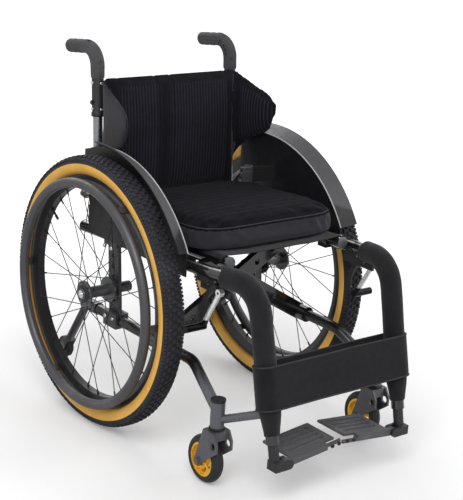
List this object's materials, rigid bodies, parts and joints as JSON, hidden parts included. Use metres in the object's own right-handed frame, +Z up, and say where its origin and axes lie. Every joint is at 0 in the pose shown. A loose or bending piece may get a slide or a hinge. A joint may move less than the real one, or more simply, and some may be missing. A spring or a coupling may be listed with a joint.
{
  "type": "sports wheelchair",
  "caption": "Folding active wheelchair with a cross brace, knobbly rear tyres with handrims, padded leg tubes, swivel casters, side guards, brakes and a winged back.",
  "frame": {"origin": "on the floor, under the middle of the chair's box", "axes": "+X to the sitter's left, +Z up, the chair faces -Y"},
  "size_m": [0.608, 0.8722, 0.8382],
  "materials": {
    "black_paint": "gloss",
    "gunmetal_paint": "satin",
    "bright_metal": "satin",
    "grip_rubber": "matte",
    "tyre_rubber": "matte",
    "gold_rim": "gloss",
    "guard_plastic": "textured",
    "cloth": "mesh",
    "pad_foam": "matte",
    "foot_plastic": "satin",
    "black_plastic": "satin"
  },
  "bodies": {
    "right_frame": {"right_side_tube": "black_paint", "right_lower_rail": "gunmetal_paint", "right_axle_plate": "black_paint", "right_cane": "bright_metal", "right_push_handle": "black_paint", "right_hand_grip": "grip_rubber", "right_side_guard": "guard_plastic", "right_leg_pad": "pad_foam", "right_foot_hanger": "black_paint", "right_brake_bracket": "black_paint", "right_axle": "bright_metal", "right_frame_bolts": "black_plastic", "seat_sling": "cloth", "seat_cushion": "cloth", "back_upholstery": "cloth", "calf_strap": "cloth"},
    "left_frame": {"left_side_tube": "black_paint", "left_lower_rail": "gunmetal_paint", "left_axle_plate": "black_paint", "left_cane": "bright_metal", "left_push_handle": "black_paint", "left_hand_grip": "grip_rubber", "left_side_guard": "guard_plastic", "left_leg_pad": "pad_foam", "left_foot_hanger": "black_paint", "left_brake_bracket": "black_paint", "left_axle": "bright_metal", "left_frame_bolts": "black_plastic", "lap_belt": "cloth"},
    "cross_a": {"cross_arm_a": "black_paint", "cross_pivot": "bright_metal"},
    "cross_b": {"cross_arm_b": "black_paint"},
    "left_wheel": {"left_hub": "gunmetal_paint", "left_spokes": "black_paint", "left_rim": "black_paint", "left_tyre": "tyre_rubber", "left_handrim": "gunmetal_paint"},
    "left_fork": {"left_caster_fork": "black_paint"},
    "left_caster": {"left_caster_wheel": "gold_rim", "left_caster_tyre": "tyre_rubber"},
    "left_foot": {"left_footplate": "foot_plastic"},
    "left_brake_lever_body": {"left_brake_lever": "bright_metal"},
    "left_brake_arm_body": {"left_brake_arm": "black_paint"},
    "left_anti_tip": {"left_anti_tip_tube": "gunmetal_paint"},
    "left_tip_roller": {"left_anti_tip_wheel": "grip_rubber"},
    "left_button": {"left_axle_button": "bright_metal"},
    "right_wheel": {"right_hub": "gunmetal_paint", "right_spokes": "black_paint", "right_rim": "black_paint", "right_tyre": "tyre_rubber", "right_handrim": "gunmetal_paint"},
    "right_fork": {"right_caster_fork": "black_paint"},
    "right_caster": {"right_caster_wheel": "gold_rim", "right_caster_tyre": "tyre_rubber"},
    "right_foot": {"right_footplate": "foot_plastic"},
    "right_brake_lever_body": {"right_brake_lever": "bright_metal"},
    "right_brake_arm_body": {"right_brake_arm": "black_paint"},
    "right_anti_tip": {"right_anti_tip_tube": "gunmetal_paint"},
    "right_tip_roller": {"right_anti_tip_wheel": "grip_rubber"},
    "right_button": {"right_axle_button": "bright_metal"}
  },
  "joints": [
    {"name": "fold", "type": "hinge", "parent": "right_frame", "child": "cross_a", "pos_m": [-0.203, -0.04088, 0.235], "axis": [0, -1, 0], "range_deg": [0, 40], "deforming": ["seat_sling", "seat_cushion", "back_upholstery", "calf_strap", "lap_belt"]},
    {"name": "cross_scissor", "type": "hinge", "parent": "cross_a", "child": "cross_b", "pos_m": [0, -0.04088, 0.35455], "axis": [0, -1, 0], "range_deg": [-81, 1]},
    {"name": "left_fold", "type": "hinge", "parent": "cross_b", "child": "left_frame", "pos_m": [0.203, -0.04088, 0.235], "axis": [0, -1, 0], "range_deg": [-1, 41]},
    {"name": "left_foot_lift", "type": "hinge", "parent": "left_frame", "child": "left_foot", "pos_m": [0.149, -0.42272, 0.092], "axis": [0, 1, 0], "range_deg": [-1, 81]},
    {"name": "left_wheel_spin", "type": "hinge", "parent": "left_frame", "child": "left_wheel", "pos_m": [0.253, 0.13112, 0.305], "axis": [1, 0, 0], "continuous": true},
    {"name": "left_caster_swivel", "type": "hinge", "parent": "left_frame", "child": "left_fork", "pos_m": [0.224, -0.28688, 0.16], "axis": [0, 0, 1], "continuous": true},
    {"name": "left_caster_spin", "type": "hinge", "parent": "left_fork", "child": "left_caster", "pos_m": [0.224, -0.25688, 0.052], "axis": [1, 0, 0], "continuous": true},
    {"name": "left_brake", "type": "hinge", "parent": "left_frame", "child": "left_brake_lever_body", "pos_m": [0.215, -0.25888, 0.41444], "axis": [1, 0, 0], "range_deg": [0, 23]},
    {"name": "left_brake_link", "type": "hinge", "parent": "left_frame", "child": "left_brake_arm_body", "pos_m": [0.206, -0.22888, 0.41444], "axis": [1, 0, 0], "range_deg": [-1, 24]},
    {"name": "left_tip_turn", "type": "hinge", "parent": "left_frame", "child": "left_anti_tip", "pos_m": [0.203, 0.22812, 0.235], "axis": [0, 1, 0], "range_deg": [0, 180]},
    {"name": "left_tip_spin", "type": "hinge", "parent": "left_anti_tip", "child": "left_tip_roller", "pos_m": [0.203, 0.33112, 0.098], "axis": [1, 0, 0], "continuous": true},
    {"name": "left_button_press", "type": "slide", "parent": "left_frame", "child": "left_button", "axis": [-1, 0, 0], "range_m": [0, 0.003], "stiffness_N_per_m": 300},
    {"name": "right_foot_lift", "type": "hinge", "parent": "right_frame", "child": "right_foot", "pos_m": [-0.149, -0.42272, 0.092], "axis": [0, -1, 0], "range_deg": [-1, 81]},
    {"name": "right_wheel_spin", "type": "hinge", "parent": "right_frame", "child": "right_wheel", "pos_m": [-0.253, 0.13112, 0.305], "axis": [1, 0, 0], "continuous": true},
    {"name": "right_caster_swivel", "type": "hinge", "parent": "right_frame", "child": "right_fork", "pos_m": [-0.224, -0.28688, 0.16], "axis": [0, 0, 1], "continuous": true},
    {"name": "right_caster_spin", "type": "hinge", "parent": "right_fork", "child": "right_caster", "pos_m": [-0.224, -0.25688, 0.052], "axis": [1, 0, 0], "continuous": true},
    {"name": "right_brake", "type": "hinge", "parent": "right_frame", "child": "right_brake_lever_body", "pos_m": [-0.215, -0.25888, 0.41444], "axis": [1, 0, 0], "range_deg": [0, 23]},
    {"name": "right_brake_link", "type": "hinge", "parent": "right_frame", "child": "right_brake_arm_body", "pos_m": [-0.206, -0.22888, 0.41444], "axis": [1, 0, 0], "range_deg": [-1, 24]},
    {"name": "right_tip_turn", "type": "hinge", "parent": "right_frame", "child": "right_anti_tip", "pos_m": [-0.203, 0.22812, 0.235], "axis": [0, -1, 0], "range_deg": [0, 180]},
    {"name": "right_tip_spin", "type": "hinge", "parent": "right_anti_tip", "child": "right_tip_roller", "pos_m": [-0.203, 0.33112, 0.098], "axis": [1, 0, 0], "continuous": true},
    {"name": "right_button_press", "type": "slide", "parent": "right_frame", "child": "right_button", "axis": [1, 0, 0], "range_m": [0, 0.003], "stiffness_N_per_m": 300}
  ],
  "couplings": [
    {"joint": "cross_scissor", "follows": "fold", "ratio": -2},
    {"joint": "left_fold", "follows": "fold", "ratio": 1},
    {"joint": "left_foot_lift", "follows": "fold", "ratio": 2},
    {"joint": "left_brake_link", "follows": "left_brake", "ratio": 1},
    {"joint": "right_foot_lift", "follows": "fold", "ratio": 2},
    {"joint": "right_brake_link", "follows": "right_brake", "ratio": 1}
  ]
}
